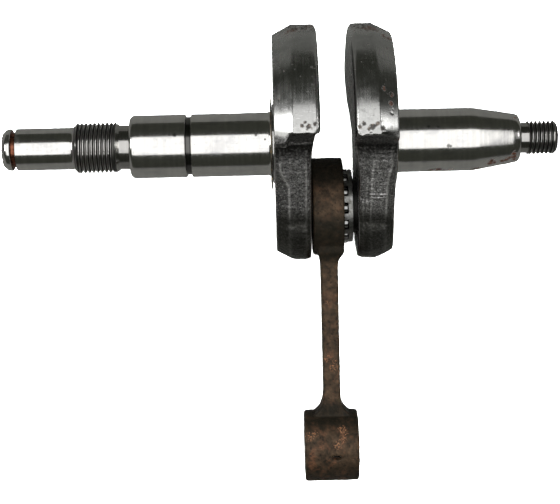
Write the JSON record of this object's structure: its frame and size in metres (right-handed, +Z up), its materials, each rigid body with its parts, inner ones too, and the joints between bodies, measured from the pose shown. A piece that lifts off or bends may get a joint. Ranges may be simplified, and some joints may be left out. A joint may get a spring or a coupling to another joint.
{
  "type": "small engine crankshaft with connecting rod",
  "caption": "Built-up crankshaft with two counterweighted webs, a connecting rod on a caged needle bearing, a threaded clutch end and a tapered flywheel end.",
  "frame": {"origin": "on the crank's axis of rotation, midway between the two webs", "axes": "+X along the shaft towards the flywheel end; +Z up with the crank lying on a bench; +Y away from the rod's side"},
  "size_m": [0.1316, 0.1103, 0.0476],
  "materials": {
    "left_half_crank": "ground bright on the journals, dark machined and rough forged on the web, light rust",
    "right_half_crank": "ground bright on the journal and taper, dark machined and rough forged on the web, light rust",
    "crankpin": "ground",
    "shim_washer_left": "dark, oil-stained",
    "shim_washer_right": "dark, oil-stained",
    "conrod": "dark forged steel with a brown rust film",
    "needle_cage": "satin",
    "needle_roller_01": "polished",
    "needle_roller_02": "polished",
    "needle_roller_03": "polished",
    "needle_roller_04": "polished",
    "needle_roller_05": "polished",
    "needle_roller_06": "polished",
    "needle_roller_07": "polished",
    "needle_roller_08": "polished",
    "needle_roller_09": "polished",
    "needle_roller_10": "polished",
    "needle_roller_11": "polished",
    "needle_roller_12": "polished",
    "needle_roller_13": "polished"
  },
  "bodies": {
    "crank": {"left_half_crank": "left_half_crank", "right_half_crank": "right_half_crank", "crankpin": "crankpin", "shim_washer_left": "shim_washer_left", "shim_washer_right": "shim_washer_right"},
    "rod": {"conrod": "conrod"},
    "cage": {"needle_cage": "needle_cage"},
    "roller_01": {"needle_roller_01": "needle_roller_01"},
    "roller_02": {"needle_roller_02": "needle_roller_02"},
    "roller_03": {"needle_roller_03": "needle_roller_03"},
    "roller_04": {"needle_roller_04": "needle_roller_04"},
    "roller_05": {"needle_roller_05": "needle_roller_05"},
    "roller_06": {"needle_roller_06": "needle_roller_06"},
    "roller_07": {"needle_roller_07": "needle_roller_07"},
    "roller_08": {"needle_roller_08": "needle_roller_08"},
    "roller_09": {"needle_roller_09": "needle_roller_09"},
    "roller_10": {"needle_roller_10": "needle_roller_10"},
    "roller_11": {"needle_roller_11": "needle_roller_11"},
    "roller_12": {"needle_roller_12": "needle_roller_12"},
    "roller_13": {"needle_roller_13": "needle_roller_13"}
  },
  "joints": [
    {"name": "rod_swing", "type": "hinge", "parent": "crank", "child": "rod", "pos_m": [0, -0.015, -0.00637], "axis": [-1, 0, 0], "continuous": true},
    {"name": "cage_turn", "type": "hinge", "parent": "crank", "child": "cage", "pos_m": [0, -0.015, -0.00637], "axis": [-1, 0, 0], "continuous": true},
    {"name": "roller_01_spin", "type": "hinge", "parent": "cage", "child": "roller_01", "pos_m": [0, -0.01573, 0.00135], "axis": [-1, 0, 0], "continuous": true},
    {"name": "roller_02_spin", "type": "hinge", "parent": "cage", "child": "roller_02", "pos_m": [0, -0.01924, 0.00012], "axis": [-1, 0, 0], "continuous": true},
    {"name": "roller_03_spin", "type": "hinge", "parent": "cage", "child": "roller_03", "pos_m": [0, -0.02177, -0.00259], "axis": [-1, 0, 0], "continuous": true},
    {"name": "roller_04_spin", "type": "hinge", "parent": "cage", "child": "roller_04", "pos_m": [0, -0.02275, -0.00616], "axis": [-1, 0, 0], "continuous": true},
    {"name": "roller_05_spin", "type": "hinge", "parent": "cage", "child": "roller_05", "pos_m": [0, -0.02196, -0.00979], "axis": [-1, 0, 0], "continuous": true},
    {"name": "roller_06_spin", "type": "hinge", "parent": "cage", "child": "roller_06", "pos_m": [0, -0.01957, -0.01263], "axis": [-1, 0, 0], "continuous": true},
    {"name": "roller_07_spin", "type": "hinge", "parent": "cage", "child": "roller_07", "pos_m": [0, -0.01614, -0.01403], "axis": [-1, 0, 0], "continuous": true},
    {"name": "roller_08_spin", "type": "hinge", "parent": "cage", "child": "roller_08", "pos_m": [0, -0.01245, -0.01369], "axis": [-1, 0, 0], "continuous": true},
    {"name": "roller_09_spin", "type": "hinge", "parent": "cage", "child": "roller_09", "pos_m": [0, -0.00934, -0.01166], "axis": [-1, 0, 0], "continuous": true},
    {"name": "roller_10_spin", "type": "hinge", "parent": "cage", "child": "roller_10", "pos_m": [0, -0.00753, -0.00842], "axis": [-1, 0, 0], "continuous": true},
    {"name": "roller_11_spin", "type": "hinge", "parent": "cage", "child": "roller_11", "pos_m": [0, -0.00743, -0.00471], "axis": [-1, 0, 0], "continuous": true},
    {"name": "roller_12_spin", "type": "hinge", "parent": "cage", "child": "roller_12", "pos_m": [0, -0.00907, -0.00139], "axis": [-1, 0, 0], "continuous": true},
    {"name": "roller_13_spin", "type": "hinge", "parent": "cage", "child": "roller_13", "pos_m": [0, -0.01206, 0.0008], "axis": [-1, 0, 0], "continuous": true}
  ],
  "couplings": [
    {"joint": "cage_turn", "follows": "rod_swing", "ratio": 0.5794},
    {"joint": "roller_01_spin", "follows": "rod_swing", "ratio": 3.0711},
    {"joint": "roller_02_spin", "follows": "rod_swing", "ratio": 3.0711},
    {"joint": "roller_03_spin", "follows": "rod_swing", "ratio": 3.0711},
    {"joint": "roller_04_spin", "follows": "rod_swing", "ratio": 3.0711},
    {"joint": "roller_05_spin", "follows": "rod_swing", "ratio": 3.0711},
    {"joint": "roller_06_spin", "follows": "rod_swing", "ratio": 3.0711},
    {"joint": "roller_07_spin", "follows": "rod_swing", "ratio": 3.0711},
    {"joint": "roller_08_spin", "follows": "rod_swing", "ratio": 3.0711},
    {"joint": "roller_09_spin", "follows": "rod_swing", "ratio": 3.0711},
    {"joint": "roller_10_spin", "follows": "rod_swing", "ratio": 3.0711},
    {"joint": "roller_11_spin", "follows": "rod_swing", "ratio": 3.0711},
    {"joint": "roller_12_spin", "follows": "rod_swing", "ratio": 3.0711},
    {"joint": "roller_13_spin", "follows": "rod_swing", "ratio": 3.0711}
  ]
}
